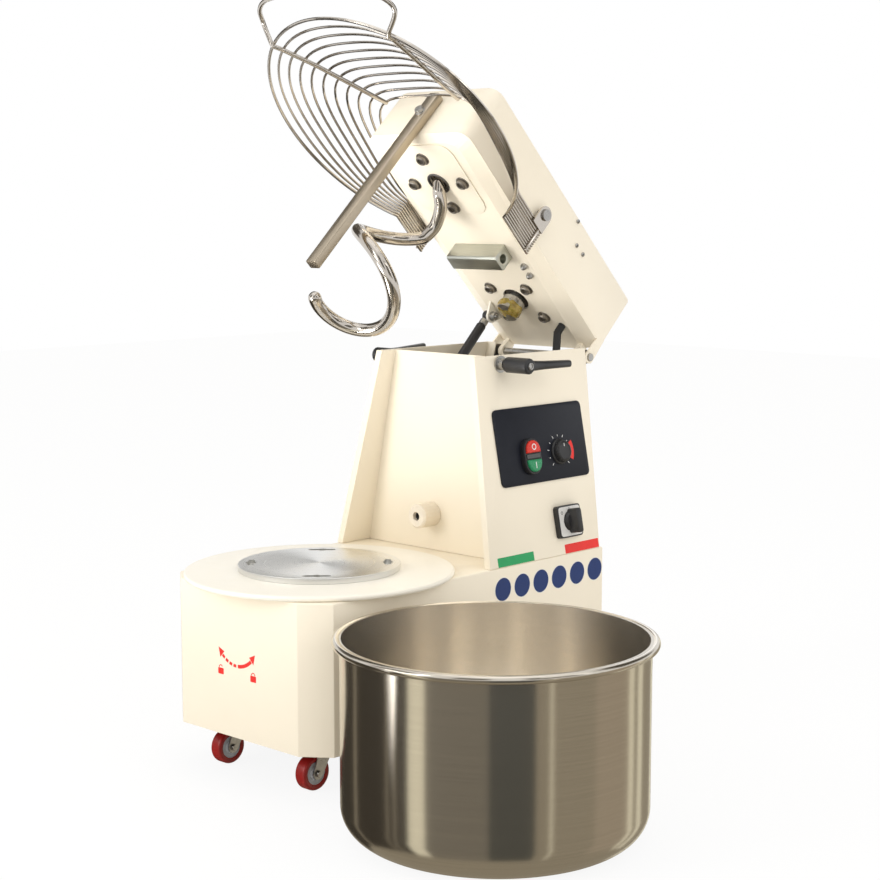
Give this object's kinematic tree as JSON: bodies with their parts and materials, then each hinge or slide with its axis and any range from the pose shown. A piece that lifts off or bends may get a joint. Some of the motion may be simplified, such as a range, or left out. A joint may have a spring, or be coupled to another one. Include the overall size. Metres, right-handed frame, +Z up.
{
  "type": "spiral dough mixer",
  "caption": "Floor-standing spiral dough mixer with a tilting head, spiral hook, breaker bar, wire bowl guard, turning bowl plate, casters and a removable steel bowl.",
  "frame": {"origin": "centre of the bowl seat, on top of the turning bowl plate", "axes": "+X the control side, -Y the front, +Z up"},
  "size_m": [0.8244, 0.8656, 1.1167],
  "materials": {
    "cream_paint": "gloss",
    "white_paint": "gloss",
    "polished_steel": "polished",
    "aluminium": "turned",
    "dark_steel": "machined",
    "zinc": "zinc plated",
    "black_plastic": "satin",
    "navy_plastic": "satin",
    "grey_plastic": "satin",
    "red_plastic": "gloss",
    "green_plastic": "gloss",
    "clear_lamp": "frosted",
    "cream_rubber": "matte",
    "red_tyre": "smooth"
  },
  "bodies": {
    "frame": {"chassis_plate": "dark_steel", "base_housing": "cream_paint", "base_top_disc": "white_paint", "column_housing": "cream_paint", "column_rear_cover": "cream_paint", "hinge_bracket_left": "dark_steel", "hinge_bracket_right": "dark_steel", "hinge_pin": "zinc", "bowl_bumper": "cream_rubber", "bowl_bearing": "dark_steel", "bowl_chain": "dark_steel", "gear_motor": "dark_steel", "drive_bearing": "dark_steel", "gas_spring_anchor": "dark_steel", "control_panel": "navy_plastic", "control_box": "grey_plastic", "switch_bezel": "black_plastic", "lamp_lens": "clear_lamp", "selector_plate": "grey_plastic", "conduit": "black_plastic"},
    "bowl_drive": {"bowl_plate": "aluminium", "bowl_sprocket": "dark_steel"},
    "main_shaft": {"drive_shaft": "zinc"},
    "bowl": {"mixing_bowl": "polished_steel", "bowl_lock_ring": "zinc"},
    "head": {"head_cover": "cream_paint", "head_arm": "cream_paint", "nose_plate": "cream_paint", "clamp_block": "aluminium", "breaker_bar": "polished_steel", "strut_bracket": "cream_paint", "spindle_bearing": "dark_steel", "clutch_bearing": "dark_steel", "head_chain": "dark_steel", "guard_pin_left": "zinc", "guard_pin_right": "zinc"},
    "spiral": {"spiral_hook": "polished_steel", "spiral_sprocket": "dark_steel"},
    "clutch": {"head_clutch": "zinc"},
    "guard": {"guard_grid": "polished_steel"},
    "lever_right": {"clamp_lever_right": "black_plastic"},
    "lever_left": {"clamp_lever_left": "black_plastic"},
    "spring_tube": {"gas_spring_tube": "black_plastic"},
    "spring_rod": {"gas_spring_rod": "zinc"},
    "stop": {"stop_button": "red_plastic"},
    "start": {"start_button": "green_plastic"},
    "timer": {"timer_knob": "black_plastic"},
    "selector": {"selector_knob": "black_plastic"},
    "swivel_front_left": {"caster_fork_front_left": "zinc"},
    "wheel_front_left": {"caster_wheel_front_left": "red_tyre"},
    "swivel_front_right": {"caster_fork_front_right": "zinc"},
    "wheel_front_right": {"caster_wheel_front_right": "red_tyre"},
    "swivel_rear_left": {"caster_fork_rear_left": "zinc"},
    "wheel_rear_left": {"caster_wheel_rear_left": "red_tyre"},
    "swivel_rear_right": {"caster_fork_rear_right": "zinc"},
    "wheel_rear_right": {"caster_wheel_rear_right": "red_tyre"}
  },
  "joints": [
    {"name": "head_tilt", "type": "hinge", "parent": "frame", "child": "head", "pos_m": [0, 0.493, 0.2774], "axis": [1, 0, 0], "range_deg": [0, 46], "deforming": ["conduit"]},
    {"name": "guard_hinge", "type": "hinge", "parent": "head", "child": "guard", "pos_m": [0, 0.36681, 0.50308], "axis": [-1, 0, 0], "range_deg": [0, 65]},
    {"name": "spiral_spin", "type": "hinge", "parent": "head", "child": "spiral", "pos_m": [0, 0.24014, 0.53924], "axis": [0, 0.7193, 0.6947], "continuous": true},
    {"name": "clutch_spin", "type": "hinge", "parent": "head", "child": "clutch", "pos_m": [0, 0.41867, 0.35437], "axis": [0, 0.7193, 0.6947], "continuous": true},
    {"name": "bowl_plate_spin", "type": "hinge", "parent": "frame", "child": "bowl_drive", "pos_m": [0, 0, 0], "axis": [0, 0, 1], "continuous": true},
    {"name": "main_shaft_spin", "type": "hinge", "parent": "frame", "child": "main_shaft", "pos_m": [0, 0.386, 0.1019], "axis": [0, 0, 1], "continuous": true},
    {"name": "bowl_slide", "type": "slide", "parent": "frame", "child": "bowl", "axis": [1, 0, 0], "range_m": [0, 0.3]},
    {"name": "clamp_turn_right", "type": "hinge", "parent": "frame", "child": "lever_right", "pos_m": [0, 0.275, 0.2799], "axis": [1, 0, 0], "range_deg": [-30, 90]},
    {"name": "clamp_turn_left", "type": "hinge", "parent": "frame", "child": "lever_left", "pos_m": [0, 0.275, 0.2799], "axis": [1, 0, 0], "range_deg": [-30, 90]},
    {"name": "spring_pivot", "type": "hinge", "parent": "head", "child": "spring_tube", "pos_m": [-0.068, 0.44102, 0.33842], "axis": [1, 0, 0], "range_deg": [-53.8, 0]},
    {"name": "spring_stroke", "type": "slide", "parent": "spring_tube", "child": "spring_rod", "axis": [0, 0.7082, 0.706], "range_m": [0, 0.0592]},
    {"name": "stop_press", "type": "slide", "parent": "frame", "child": "stop", "axis": [-0.9812, 0, -0.1931], "range_m": [0, 0.0035], "stiffness_N_per_m": 600},
    {"name": "start_press", "type": "slide", "parent": "frame", "child": "start", "axis": [-0.9812, 0, -0.1931], "range_m": [0, 0.0035], "stiffness_N_per_m": 600},
    {"name": "timer_turn", "type": "hinge", "parent": "frame", "child": "timer", "pos_m": [0.13434, 0.381, 0.13871], "axis": [0.9812, 0, 0.1931], "range_deg": [-270, 0]},
    {"name": "selector_turn", "type": "hinge", "parent": "frame", "child": "selector", "pos_m": [0.15529, 0.3765, 0.03225], "axis": [0.9812, 0, 0.1931], "range_deg": [-90, 0]},
    {"name": "swivel_turn_front_left", "type": "hinge", "parent": "frame", "child": "swivel_front_left", "pos_m": [-0.092, -0.084, -0.2361], "axis": [0, 0, 1], "continuous": true},
    {"name": "wheel_roll_front_left", "type": "hinge", "parent": "swivel_front_left", "child": "wheel_front_left", "pos_m": [-0.092, -0.102, -0.2731], "axis": [1, 0, 0], "continuous": true},
    {"name": "swivel_turn_front_right", "type": "hinge", "parent": "frame", "child": "swivel_front_right", "pos_m": [0.092, -0.084, -0.2361], "axis": [0, 0, 1], "continuous": true},
    {"name": "wheel_roll_front_right", "type": "hinge", "parent": "swivel_front_right", "child": "wheel_front_right", "pos_m": [0.092, -0.102, -0.2731], "axis": [1, 0, 0], "continuous": true},
    {"name": "swivel_turn_rear_left", "type": "hinge", "parent": "frame", "child": "swivel_rear_left", "pos_m": [-0.128, 0.395, -0.2361], "axis": [0, 0, 1], "continuous": true},
    {"name": "wheel_roll_rear_left", "type": "hinge", "parent": "swivel_rear_left", "child": "wheel_rear_left", "pos_m": [-0.128, 0.377, -0.2731], "axis": [1, 0, 0], "continuous": true},
    {"name": "swivel_turn_rear_right", "type": "hinge", "parent": "frame", "child": "swivel_rear_right", "pos_m": [0.128, 0.395, -0.2361], "axis": [0, 0, 1], "continuous": true},
    {"name": "wheel_roll_rear_right", "type": "hinge", "parent": "swivel_rear_right", "child": "wheel_rear_right", "pos_m": [0.128, 0.377, -0.2731], "axis": [1, 0, 0], "continuous": true}
  ],
  "couplings": [
    {"joint": "clutch_spin", "follows": "spiral_spin", "ratio": 2},
    {"joint": "main_shaft_spin", "follows": "bowl_plate_spin", "ratio": 2.3333},
    {"joint": "spring_pivot", "follows": "head_tilt", "ratio": -1.1468},
    {"joint": "spring_stroke", "follows": "head_tilt", "m_per_rad": 0.072521}
  ]
}
